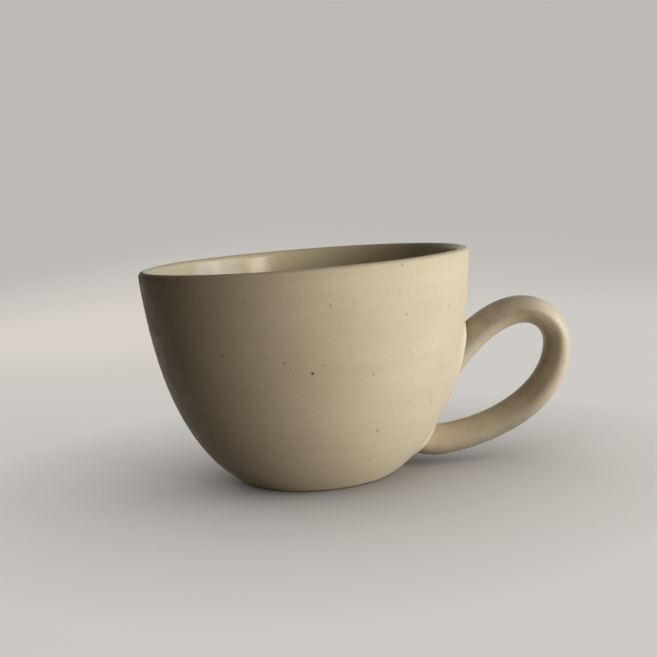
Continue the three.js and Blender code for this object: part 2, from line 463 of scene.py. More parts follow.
@dataclass
class ClayBowl(Piece):
    """The thrown bowl of bare clay, of which the trimmed base and the foot's edge show."""

    wall: Wall
    columns: int = 192
    wall_rows: int = 40
    base_rows: int = 90
    crown_rows: int = 10
    floor_rows: int = 12
    edge_rows: int = 8
    base_groove: float = 0.14 * MM
    base_hollow: float = 0.35 * MM
    hollow_radius: float = 18.5 * MM
    hollow_edge: float = 0.15 * MM
    groove_pitch: float = 1.9 * MM
    scratch_share: float = 0.3
    edge_round: float = 0.5 * MM
    edge_share: float = 0.05
    base_pole: float = 0.3 * MM
    floor_pole: float = 1.0 * MM

    def base(self, theta: Array) -> Array:
        """The flat base, with a shallow hollow and the spiral groove of the trimming tool.

        The height is a smooth step at the hollow's radius times the sum of the hollow's depth, the groove
        and fine scratches. The groove is the square of a raised sine of the radius over its pitch less the
        angle, so it winds once round for each pitch.

        Args:
            theta: Angles round the axis.

        Returns:
            Points, radius by angle by 3.
        """
        edge = self.wall.foot_radius - self.edge_round
        radius = np.linspace(self.base_pole, edge, self.base_rows)[:, None]
        hollow = 1 / (1 + np.exp((radius - self.hollow_radius) / self.hollow_edge))
        groove = (0.5 + 0.5 * np.sin(2 * math.pi * radius / self.groove_pitch - theta)) ** 2
        scratches = ripple(theta, radius, waves=6, wavelength=0.7 * MM, seed=12)
        height = hollow * (self.base_hollow + self.base_groove * (groove + self.scratch_share * scratches))
        return np.stack(np.broadcast_arrays(radius * np.cos(theta), radius * np.sin(theta), height), -1)

    def build(self) -> Grid:
        """The closed bowl: base, foot's round edge, outer wall, lip, inside wall and floor.

        Returns:
            The closed grid.
        """
        wall = self.wall
        theta = around(self.columns)
        rise = np.linspace(0, 1, self.wall_rows)
        floor_edge, floor_height = wall.inner(np.zeros(1), 0)[0]
        floor_radius = np.linspace(floor_edge, self.floor_pole, self.floor_rows)[1:]
        floor = np.stack([floor_radius, np.full_like(floor_radius, floor_height)], 1)
        foot = wall.outer(np.array([self.edge_share]), 0)
        corner = np.array([[wall.foot_radius - self.edge_round, 0.0], [wall.foot_radius, 0.0]])
        edge = bezier(np.concatenate([corner, foot]), np.linspace(0, 1, self.edge_rows))[1:]
        side = wall.outer(self.edge_share + (1 - self.edge_share) * rise[1:], 0)
        lip = wall.crown(np.linspace(0, 1, self.crown_rows)[1:], 0)
        inside = wall.inner(1 - rise[1:], 0)
        profile = np.concatenate([edge, side, lip, inside, floor])
        turned = turn(profile, theta, np.zeros((len(profile), self.columns)))
        return Grid("clay_bowl", np.concatenate([self.base(theta), turned]), closed_rows=False)


@dataclass
class OuterCoat(Piece):
    """The satin coat from the glaze line up the wall, over the lip and a little way down the inside."""

    wall: Wall
    columns: int = 300
    wall_rows: int = 170
    crown_rows: int = 26
    tuck_rows: int = 8
    roll_rows: int = 6
    under_rows: int = 24
    tuck: float = 1.6 * MM
    lip_bump: float = 0.15 * MM
    lip_bumps_round: int = 24
    lip_dip: float = 0.16 * MM
    thin_width: float = 1.1 * MM

    def build(self) -> Grid:
        """The coat's closed section, turned about Z and pressed in by the wall's relief.

        The section runs up the outside, over the lip, under the liner's edge and back beneath the coat. Its
        ends are half circles. The relief fades over the lip, where a fine bumpiness takes its place.

        Returns:
            The grid, with the coat's thinness marked on its points.
        """
        wall = self.wall
        theta = around(self.columns)
        start = wall.parameter_at(wall.glaze_line)
        side = wall.outer(np.linspace(start, 1, self.wall_rows), wall.skin)
        lip_share = np.linspace(0, 1, self.crown_rows)[1:]
        sunk = np.clip((lip_share - wall.seam_share) / wall.seam_blend + 0.5, 0, 1)
        lip = wall.crown(lip_share, wall.skin - wall.seam_sink * sunk)
        tuck_share = np.linspace(0, 1, self.tuck_rows)[1:]
        tuck_u = 1 - tuck_share * self.tuck / wall.height
        tuck = wall.inner(tuck_u, wall.skin - wall.seam_sink)
        under = np.concatenate([
            wall.inner(tuck_u[::-1], wall.fit_gap),
            wall.crown(np.linspace(1, 0, self.crown_rows), wall.fit_gap),
            wall.outer(np.linspace(1, start, self.under_rows)[1:], wall.fit_gap),
        ])
        upper_end = self.roll(tuck[-1], under[0])
        lower_end = self.roll(under[-1], side[0])
        section = np.concatenate([side, lip, tuck, upper_end, under, lower_end])
        along = arc_length(section)
        outside = np.zeros(len(section))
        outside[: len(side)] = 1
        outside[len(side) : len(side) + len(lip)] = 1 - lip_share
        span = math.pi * (wall.lip_radius + wall.skin)
        crest = bell(2 * (along - along[len(side)]) / span - 1)
        crest[len(side) + len(lip) :] = 0
        round_lip = theta * self.lip_bumps_round
        bumps = ripple(round_lip, along[:, None], waves=14, wavelength=1.3 * MM, seed=21)
        dip = ripple(theta, np.zeros((len(section), 1)), waves=4, wavelength=1.0, seed=5)
        inwards = crest[:, None] * (self.lip_bump * bumps + self.lip_dip * dip)
        inwards += outside[:, None] * wall.relief(theta, section[:, 1:])
        line = bell(along / self.thin_width)
        thin = np.repeat(np.maximum(crest, line)[:, None], self.columns, 1)
        return Grid("outer_coat", turn(section, theta, inwards), marks={"thin": thin})

    def roll(self, start: Array, end: Array) -> Array:
        """The half circle that closes an end of the coat, without its two end points.

        Args:
            start: Last point of the side before the end.
            end: First point of the side after it.

        Returns:
            Points between the two.
        """
        middle = (start + end) / 2
        arm = start - middle
        outwards = np.array([-arm[1], arm[0]])
        angle = math.pi * np.arange(1, self.roll_rows)[:, None] / self.roll_rows
        return middle + arm * np.cos(angle) + outwards * np.sin(angle)


@dataclass
class Liner(Piece):
    """The glossy coat on the inside wall and floor, with the rings that throwing leaves."""

    wall: Wall
    columns: int = 240
    wall_rows: int = 150
    floor_rows: int = 50
    under_rows: int = 30
    crown_rows: int = 12
    thin_width: float = 1.3 * MM
    floor_round: float = 5.0 * MM
    ring_pitch: float = 6.2 * MM
    ring_depth: float = 0.16 * MM
    ring_fade: float = 0.7
    spiral_share: float = 0.5
    uneven_share: float = 0.8
    spacing: float = 0.1 * MM
    pole: float = 0.4 * MM
    under_pole: float = 1.0 * MM

    def over(self) -> Array:
        """The visible profile from the floor's middle up the wall to the seam on the lip.

        Floor and wall are joined, and a running mean over the rounding length turns their corner into a
        curve.

        Returns:
            Radius and height, evenly spaced along the profile.
        """
        wall = self.wall
        u = np.linspace(0, 1, wall.samples)
        rising = wall.inner(u, wall.skin)
        seam = wall.seam_share - wall.seam_blend / 2
        lip = wall.crown(np.linspace(1, seam, self.crown_rows)[1:], wall.skin)
        sharp = np.concatenate([[[0.0, rising[0, 1]]], rising, lip])
        length = arc_length(sharp)
        even = np.arange(0, length[-1], self.spacing)
        points = resample(sharp, length, even)
        span = int(self.floor_round / self.spacing)
        kernel = np.hanning(2 * span + 1)
        kernel /= kernel.sum()
        before = points[span:0:-1] * [-1, 1]
        after = 2 * points[-1] - points[-2 : -span - 2 : -1]
        mirrored = np.concatenate([before, points, after])
        smooth = np.stack([np.convolve(mirrored[:, k], kernel, "valid") for k in range(2)], 1)
        rounded = np.clip((even[-1] - even) / self.floor_round - 1, 0, 1)[:, None]
        blended = points + rounded * (smooth - points)
        rows = np.linspace(self.pole, even[-1], self.floor_rows + self.wall_rows)
        return resample(blended, even, rows)

    def build(self) -> Grid:
        """The closed coat: its wet side with a spiral of throwing rings, and its plain underside.

        The relief is the spiral and an uneven ripple, which fade up the wall and at the floor's middle. Near
        the seam the wet side sinks a little, so that its edge lies flush with the outer coat.

        Returns:
            The closed grid, with the coat's thinness marked on its points.
        """
        wall = self.wall
        theta = around(self.columns)
        over = self.over()
        along = arc_length(over)
        spiral = 0.5 + 0.5 * np.sin(2 * math.pi * along[:, None] / self.ring_pitch + theta)
        uneven = ripple(theta, along[:, None], waves=8, wavelength=9 * MM, seed=31)
        fade = (1 - self.ring_fade * along / along[-1])[:, None]
        centre = np.clip(along / (2 * self.ring_pitch), 0, 1)[:, None]
        feather = math.pi * wall.seam_blend * (wall.lip_radius + wall.skin)
        edge = np.clip(1 - (along[-1] - along) / feather, 0, 1)[:, None]
        rings = self.spiral_share * spiral + self.uneven_share * uneven
        relief = centre * fade * self.ring_depth * rings + wall.seam_sink * edge
        lip_share = np.linspace(wall.seam_share - wall.seam_blend / 2, 1, self.crown_rows)
        deep = wall.skin - 2 * wall.seam_sink
        lip = wall.crown(lip_share, deep)
        low = wall.inner(np.linspace(1, 0, self.under_rows)[1:], deep)
        floor = np.array([[self.under_pole, low[-1, 1]]])
        profile = np.concatenate([over, lip, low, floor])
        depth = np.concatenate([-relief, np.zeros((len(profile) - len(over), self.columns))])
        thin = np.zeros(depth.shape)
        thin[: len(over)] = bell((along[-1] - along) / self.thin_width)[:, None]
        return Grid("liner_coat", turn(profile, theta, depth), closed_rows=False, marks={"thin": thin})


@dataclass(frozen=True)
class Loop:
    """The handle: an oval strap whose centre line is a loop of four Bezier curves in the XZ plane.

    The section is a superellipse, wider on the loop's outside, that swells towards both ends. Sizes include
    the coat.
    """

    wall: Wall
    width: float = 11.7 * MM
    thickness: float = 9.6 * MM
    shoulder_thickness: float = 8.4 * MM
    shoulder_rise: float = 5.8 * MM
    shoulder_span: float = 15.4 * MM
    root_width: float = 14.2 * MM
    root_thickness: float = 10 * MM
    root_swell: float = 34 * MM
    section_power: float = 1.9
    section_lean: float = 0.18
    upper_end_height: float = 28.8 * MM
    upper_end_inset: float = 2.6 * MM
    upper_pitch_deg: float = 52.2
    upper_pull: float = 34 * MM
    tip_reach: float = 26.2 * MM
    tip_height: float = 35.85 * MM
    tip_pull_up: float = 10.55 * MM
    tip_pull_down: float = 16 * MM
    bend_height: float = 7.35 * MM
    bend_outset: float = 8 * MM
    bend_pitch_deg: float = 6.0
    bend_pull: float = 19.6 * MM
    tuck: float = 6 * MM
    lower_end_height: float = 9.8 * MM
    lower_end_inset: float = 4.2 * MM
    samples: int = 1500
    search_steps: int = 500
    search_end: float = 0.5

    def by_wall(self, height: float, outset: float) -> Array:
        """Radius and height of a point beside the clay wall, at a distance out from it."""
        return np.array([self.wall.radius_at(height, 0) + outset, height])

    def line(self) -> tuple[Array, float]:
        """The centre line, evenly spaced by length.

        Returns:
            Radius and height, one point a row, and the line's length.
        """
        upper = self.by_wall(self.upper_end_height, -self.upper_end_inset)
        tip = np.array([self.wall.rim_radius + self.tip_reach, self.tip_height])
        bend = self.by_wall(self.bend_height, self.bend_outset)
        lower = self.by_wall(self.lower_end_height, -self.lower_end_inset)
        start = upper - step(self.root_width, self.upper_pitch_deg / 2)
        start_arm = upper - step(self.root_width / 2, self.upper_pitch_deg)
        upper_arm = upper + step(self.upper_pull, self.upper_pitch_deg)
        bend_arm = bend + step(self.bend_pull, self.bend_pitch_deg)
        tuck = bend - step(self.tuck, self.bend_pitch_deg)
        above, below = tip + step(self.tip_pull_up, 90), tip - step(self.tip_pull_down, 90)
        curves = [[start, start_arm, upper], [upper, upper_arm, above, tip], [tip, below, bend_arm, bend]]
        curves.append([bend, tuck, lower])
        u = np.linspace(0, 1, self.samples)
        dense = np.concatenate([bezier(np.array(curve), u)[1:] for curve in curves])
        length = arc_length(dense)
        even = np.linspace(0, length[-1], self.samples)
        return resample(dense, length, even), float(length[-1])

    def surface(self, share: Array, angle: Array, grow: Array | float) -> Array:
        """The strap's surface: the centre line plus a superellipse across it.

        The section's half sizes swell by the square of the distance left to the nearer end, and its
        thickness falls by a bell curve round the shoulder, just above the outermost point. A signed power of
        the cosine and sine of the section angle gives the superellipse, and a share of the sine widens its
        outer side.

        Args:
            share: Share of the line's length, from the upper end.
            angle: Angle round the section, 0 at +Y and a quarter turn at the outside of the loop.
            grow: Offset of the section outwards.

        Returns:
            Points, with three numbers on the last axis.
        """
        line, length = self.line()
        tangent = unit(np.gradient(line, axis=0))
        knots = np.linspace(0, 1, len(line))
        x, z, along_x, along_z = (np.interp(share, knots, row) for row in (*line.T, *tangent.T))
        from_end = np.minimum(share, 1 - share) * length
        swell = np.maximum(0, 1 - from_end / self.root_swell) ** 2
        half_width = (self.width + (self.root_width - self.width) * swell) / 2 + grow
        tip = np.argmax(line[:, 0]) / (len(line) - 1)
        thinning = bell(((share - tip) * length + self.shoulder_rise) / self.shoulder_span)
        thickness = self.thickness + (self.shoulder_thickness - self.thickness) * thinning
        half_thickness = (thickness + (self.root_thickness - thickness) * swell) / 2 + grow
        power = 2 / self.section_power
        outwards = np.sign(np.sin(angle)) * np.abs(np.sin(angle)) ** power
        sideways = np.sign(np.cos(angle)) * np.abs(np.cos(angle)) ** power
        across = half_width * sideways * (1 + self.section_lean * outwards)
        through = half_thickness * outwards
        return np.stack(np.broadcast_arrays(x - along_z * through, across, z + along_x * through), -1)

    def crossing(self, end: HandleEnd, angle: Array, grow: Array, height: Array) -> Array:
        """Where the strap's lengthwise lines pass a height above the wall, near one end.

        Each line is walked from inside the wall towards the middle of the loop, and its last step below the
        height is divided in proportion.

        Args:
            end: The end of the loop.
            angle: Section angle of each line.
            grow: Offset of the section, rows by angles.
            height: Height above the wall, rows by angles.

        Returns:
            Shares of the loop's length, rows by angles.
        """
        share = np.linspace(end.value, self.search_end, self.search_steps)
        points = self.surface(share[:, None, None], angle, grow)
        above = self.wall.clearance(points) - height
        last = len(share) - 2 - np.argmax((above < 0)[-2::-1], axis=0)
        before = np.take_along_axis(above, last[None], 0)[0]
        after = np.take_along_axis(above, last[None] + 1, 0)[0]
        part = np.clip(before / (before - after), 0, 1)
        return share[last] + part * (share[1] - share[0])


@dataclass
class Handle(Piece):
    """The glazed strap, from just inside the wall at one end to just inside it at the other."""

    loop: Loop
    rows: int = 320
    columns: int = 96
    buried: float = 0.9 * MM
    unevenness: float = 0.2 * MM
    drag_depth: float = 0.06 * MM
    drag_lines: int = 7
    # Patches of the coat's thickness, which also paint light and shade on the strap: a thick coat is pale
    # and a thin one brown
    upper_fall: Span = (0.48, 0.40)
    upper_side: Span = (0.05, -1.45)
    bend_place: float = 0.435
    bend_length: float = 0.05
    tip_rise: Span = (0.37, 0.42)
    tip_fall: Span = (0.75, 0.60)
    tip_side: Span = (0.25, 1.2)
    lower_rise: Span = (0.66, 0.84)
    lower_coat: float = 0.43

    def build(self) -> Grid:
        """The strap's surface between the two ends, with the slow unevenness of a pulled strap.

        The depth under the true section is a sum of slow ripples along the strap and of fine lengthwise
        drag lines, both zero or more.

        Returns:
            The closed grid, with the coat's thinness, which also carries painted shade and light, marked on
            its points.
        """
        angle = around(self.columns)
        none, deep = np.zeros((1, 1)), np.full((1, 1), -self.buried)
        first = self.loop.crossing(HandleEnd.UPPER, angle, none, deep)[0]
        last = self.loop.crossing(HandleEnd.LOWER, angle, none, deep)[0]
        share = first + (last - first) * np.linspace(0, 1, self.rows)[:, None]
        along = share * self.loop.line()[1]
        slow = ripple(angle, along, waves=6, wavelength=38 * MM, seed=41)
        drag = ripple(angle * self.drag_lines, along, waves=6, wavelength=90 * MM, seed=44)
        depth = self.unevenness * slow + self.drag_depth * drag
        points = self.loop.surface(share, angle, -depth)
        through = np.broadcast_to(self.loop.thickness / 2 * np.sin(angle), share.shape)
        # The thin mark on the strap is partly a real thin coat and partly painted shade and light
        marks = {"thin": 1 - self.thickness(share, np.sin(angle)), "along": along, "through": through}
        return Grid("glazed_handle", points, closed_rows=False, marks=marks)

    def thickness(self, share: Array, outwards: Array) -> Array:
        """How thick the coat lies, from 0 to 1: the greatest of four smooth patches.

        It runs together on the inside of the upper arm, all round the bend at the top, on the outside of the
        tip and, less, on the lower arm. As a thick coat is pale and a thin one brown, the patches are partly
        a real run of the glaze and partly painted light on the inside of the upper arm and the outside of
        the tip, with painted shade on the outside of the upper arm and the inside of the tip. Each patch is
        a smooth rise or fall along the strap, or a bell curve at the bend, and the first and third also
        change evenly from side to side.

        Args:
            share: Share of the strap's length.
            outwards: Sine of the section angle, 1 on the outside of the loop.

        Returns:
            The thickness at each point.
        """
        upper_level, upper_slope = self.upper_side
        upper = ramp(share, *self.upper_fall) * np.clip(upper_level + upper_slope * outwards, 0, 1)
        bend = bell((share - self.bend_place) / self.bend_length) * np.ones_like(outwards)
        tip_level, tip_slope = self.tip_side
        tip = ramp(share, *self.tip_rise) * ramp(share, *self.tip_fall)
        tip = tip * np.clip(tip_level + tip_slope * outwards, 0, 1)
        lower = self.lower_coat * ramp(share, *self.lower_rise) * np.ones_like(outwards)
        return np.maximum.reduce([upper, bend, tip, lower])


@dataclass
class SlipBead(Piece):
    """The glazed bead of slip round one root of the handle, a closed ring sunk into the wall."""

    loop: Loop
    name: str
    end: HandleEnd
    height: float
    margin: float
    inset: float = 1.0 * MM
    sunk: float = 0.5 * MM
    crease_width: float = 0.45 * MM
    crease_depth: float = 0.45
    roundness: float = 1.8
    outer_height: float = 0.3
    outer_margin: float = 0.6
    inner_height: float = 0.6
    inner_margin: float = 1.7
    # Share of a brown tone painted as shade along the inside of the root
    inner_painted_shade: float = 0.6
    pool_power: float = 1.6
    columns: int = 160
    rows: int = 30
    back_step: int = 3

    def build(self) -> Grid:
        """The bead's section carried round the root.

        At each distance from the strap the bead stands on the wall by its height times a round fall, which
        is a power of 1 less the square of the distance over the margin, less a narrow dip against the strap.
        It is low and narrow on the outside of the loop. On the inside it is low and wide, without the dip,
        and a brown tone there is painted shade. The pool of glaze, which also paints a highlight, is a power
        of the fall. The underside runs back below the wall's surface.

        Returns:
            The closed grid, with painted shade on the inside and the pool, partly a painted highlight,
            marked on its points.
        """
        angle = around(self.columns)
        outside = np.clip(np.sin(angle), 0, 1) ** 2
        inside = np.clip(-np.sin(angle), 0, 1) ** 2
        margin = self.margin * (1 - (1 - self.outer_margin) * outside + (self.inner_margin - 1) * inside)
        height = self.height * (1 - (1 - self.outer_height) * outside - (1 - self.inner_height) * inside)
        out = (margin + self.inset) * np.linspace(0, 1, self.rows)[:, None] - self.inset
        fall = (1 - np.clip(out / margin, 0, 1) ** 2) ** self.roundness
        dip = 1 - self.crease_depth * (1 - inside) * bell(out / self.crease_width)
        back = out[:: -self.back_step]
        grow = np.concatenate([out, back])
        rise = np.concatenate([height * fall * dip, np.full_like(back, -self.sunk)])
        share = self.loop.crossing(self.end, angle, grow, rise)
        points = self.loop.surface(share, angle, grow)
        wall = self.loop.wall
        theta = np.arctan2(points[..., 1], points[..., 0])
        depth = wall.relief(theta, points[..., 2])
        points[..., 0] -= depth * np.cos(theta)
        points[..., 1] -= depth * np.sin(theta)
        # Painted shade: a brown tone along the inside of the root, where a line of shade falls against the
        # wall
        thin = self.inner_painted_shade * inside * np.concatenate([fall, np.zeros_like(back)])
        # The pool is partly thick glaze and partly a painted highlight: the colour turns paler there
        pool = (1 - inside) * np.concatenate([fall, np.zeros_like(back)]) ** self.pool_power
        return Grid(self.name, points, marks={"thin": thin, "pool": pool})


class Nodes:
    """A node tree under construction."""

    def __init__(self, tree: bpy.types.NodeTree) -> None:
        """Takes the tree that the nodes go into."""
        self.tree = tree

    def node(self, kind: str, **settings: object) -> bpy.types.Node:
        """A new node with some of its settings.

        Args:
            kind: The node's type name.
            settings: Values of the node's properties.

        Returns:
            The node.
        """
        made = self.tree.nodes.new(kind)
        for label, value in settings.items():
            setattr(made, label, value)
        return made

    def feed(self, target: Socket, value: object) -> None:
        """Links a socket to an input, or sets the input's own value.

        Args:
            target: The input.
            value: The socket or the value.
        """
        if isinstance(value, Socket):
            self.tree.links.new(value, target)
        else:
            target.default_value = value

    def math(self, operation: str, first: object, second: object = 0.0) -> Socket:
        """One sum on two numbers.

        Args:
            operation: The sum's name.
            first: The first number or its socket.
            second: The second number or its socket.

        Returns:
            The result.
        """
        made = self.node("ShaderNodeMath", operation=operation)
        self.feed(made.inputs[0], first)
        self.feed(made.inputs[1], second)
        return made.outputs[0]

    def times(self, first: object, second: object) -> Socket:
        """The product of two numbers."""
        return self.math("MULTIPLY", first, second)

    def seen(self) -> Socket:
        """Whether a camera, a gloss or a clear surface sees the point.

        Returns:
            1 on their rays, and 0 on the rest.
        """
        path = self.node("ShaderNodeLightPath")
        mirrored = self.math("MAXIMUM", path.outputs["Is Glossy Ray"], path.outputs["Is Transmission Ray"])
        return self.math("MAXIMUM", path.outputs["Is Camera Ray"], mirrored)


@dataclass(frozen=True)
class Dots:
    """Scattered round specks of many sizes.

    They have the mean distance of the cells that may hold one, the radius of the largest, the power of the
    cells' random numbers, which gives fewer large ones as it rises, and the share of their tone that shows.
    """

    spacing: float
    largest: float
    rarity: float
    share: float


class Shader(Nodes):
    """A material under construction: texture nodes that end in one Principled BSDF."""

    def __init__(self, name: str) -> None:
        """Starts a material with its surface shader and Object coordinates.

        Args:
            name: The material's name.
        """
        self.material = bpy.data.materials.new(name)
        self.material.use_nodes = True
        super().__init__(self.material.node_tree)
        self.surface = self.tree.nodes["Principled BSDF"]
        self.place = self.node("ShaderNodeTexCoord").outputs["Object"]

    def remap(self, value: Socket, low: float, high: float, to_low: float = 0.0,
              to_high: float = 1.0) -> Socket:
        """A smooth, clamped change of range.

        Args:
            value: The number to change.
            low: The value that becomes to_low.
            high: The value that becomes to_high.
            to_low: First end of the new range.
            to_high: Second end of the new range.

        Returns:
            The new number.
        """
        made = self.node("ShaderNodeMapRange", interpolation_type="SMOOTHSTEP")
        ends = {"From Min": low, "From Max": high, "To Min": to_low, "To Max": to_high}
        for label, number in ends.items():
            made.inputs[label].default_value = number
        self.feed(made.inputs["Value"], value)
        return made.outputs["Result"]

    def mix(self, share: object, first: object, second: object) -> Socket:
        """A mix of two colours.

        Args:
            share: Share of the second colour.
            first: The colour, or its socket, at 0.
            second: The colour, or its socket, at 1.

        Returns:
            The mixed colour.
        """
        made = self.node("ShaderNodeMix", data_type="RGBA")
        self.feed(made.inputs["Factor"], share)
        for label, colour in (("A", first), ("B", second)):
            socket = next(s for s in made.inputs if s.name == label and s.type == "RGBA")
            self.feed(socket, colour if isinstance(colour, Socket) else (*colour, 1.0))
        return next(s for s in made.outputs if s.type == "RGBA")

    def stretched(self, across: float) -> Socket:
        """Object coordinates scaled across the axis, for marks that run round the bowl.

        Args:
            across: The scale.

        Returns:
            The coordinates.
        """
        made = self.node("ShaderNodeMapping")
        made.inputs["Scale"].default_value = (across, across, 1.0)
        self.feed(made.inputs["Vector"], self.place)
        return made.outputs["Vector"]

    def swept(self, along: float) -> Socket:
        """Coordinates along, across and through a strap, for lengthwise streaks.

        Args:
            along: Scale along the strap.

        Returns:
            The coordinates.
        """
        made = self.node("ShaderNodeCombineXYZ")
        split = self.node("ShaderNodeSeparateXYZ")
        self.feed(split.inputs["Vector"], self.place)
        self.feed(made.inputs["X"], self.times(self.mark("along"), along))
        self.feed(made.inputs["Y"], split.outputs["Y"])
        self.feed(made.inputs["Z"], self.mark("through"))
        return made.outputs["Vector"]

    def noise(self, size: float, detail: float = 3.0, place: Socket | None = None) -> Socket:
        """Noise from 0 to 1.

        Args:
            size: About how large its features are.
            detail: Number of finer layers.
            place: Coordinates to read, if not the piece's own.

        Returns:
            The noise.
        """
        made = self.node("ShaderNodeTexNoise")
        made.inputs["Scale"].default_value = 1 / size
        made.inputs["Detail"].default_value = detail
        self.feed(made.inputs["Vector"], place or self.place)
        return made.outputs["Fac"]

    def specks(self, dots: Dots) -> Socket:
        """Round specks of many sizes: a cell's random number, to a power, sets its speck's radius.

        Args:
            dots: Their distance, size and rarity.

        Returns:
            1 inside a speck, falling to 0 at its edge.
        """
        cells = self.node("ShaderNodeTexVoronoi", feature="F1")
        cells.inputs["Scale"].default_value = 1 / dots.spacing
        self.feed(cells.inputs["Vector"], self.place)
        split = self.node("ShaderNodeSeparateColor")
        self.feed(split.inputs["Color"], cells.outputs["Color"])
        drawn = self.math("POWER", split.outputs[0], dots.rarity)
        radius = self.times(drawn, dots.largest / dots.spacing)
        share = self.math("DIVIDE", cells.outputs["Distance"], radius)
        return self.remap(share, 1.0, SPECK_CORE)

    def spot(self, centre: Array, radius: float, place: Socket) -> Socket:
        """One speck at a chosen place.

        Args:
            centre: Its middle in space.
            radius: Its radius.
            place: The coordinates to read.

        Returns:
            1 inside the speck, falling to 0 at its edge.
        """
        made = self.node("ShaderNodeVectorMath", operation="DISTANCE")
        self.feed(made.inputs[0], place)
        made.inputs[1].default_value = tuple(float(x) for x in centre)
        return self.remap(made.outputs["Value"], radius, SPECK_CORE * radius)

    def stain(self, pattern: Socket, share: object, colour: object, tone: Colour) -> Socket:
        """A colour with a tone over it where a pattern lies.

        Args:
            pattern: Where the tone lies, from 0 to 1.
            share: How much of it shows there, as a number or a socket.
            colour: The colour under it, or its socket.
            tone: The tone.

        Returns:
            The stained colour.
        """
        return self.mix(self.times(pattern, share), colour, tone)

    def mark(self, label: str) -> Socket:
        """A value kept on the piece's points."""
        return self.node("ShaderNodeAttribute", attribute_name=label).outputs["Fac"]

    def bump(self, height: Socket, depth: float, below: Socket | None = None) -> Socket:
        """A bumped normal.

        Args:
            height: Relief from 0 to 1.
            depth: Height of the relief in metres.
            below: A normal that is bumped already.

        Returns:
            The new normal.
        """
        made = self.node("ShaderNodeBump")
        made.inputs["Distance"].default_value = depth
        self.feed(made.inputs["Height"], height)
        if below is not None:
            self.feed(made.inputs["Normal"], below)
        return made.outputs["Normal"]

    def finish(self, colour: Socket, roughness: Socket, normal: Socket) -> bpy.types.Material:
        """Links the three results to the surface shader.

        Args:
            colour: Base colour.
            roughness: Roughness.
            normal: Bumped normal.

        Returns:
            The finished material.
        """
        self.feed(self.surface.inputs["Base Color"], colour)
        self.feed(self.surface.inputs["Roughness"], roughness)
        self.feed(self.surface.inputs["Normal"], normal)
        return self.material


@dataclass(frozen=True)
class Speck:
    """A speck of iron in the outer coat: the photograph's pixel that shows it, its width and darkness."""

    across: float
    down: float
    width: float
    darkness: float = 0.27


@dataclass(frozen=True)
class Spot:
    """A speck's place on the wall, its radius and its darkness."""

    centre: Array
    radius: float
    darkness: float


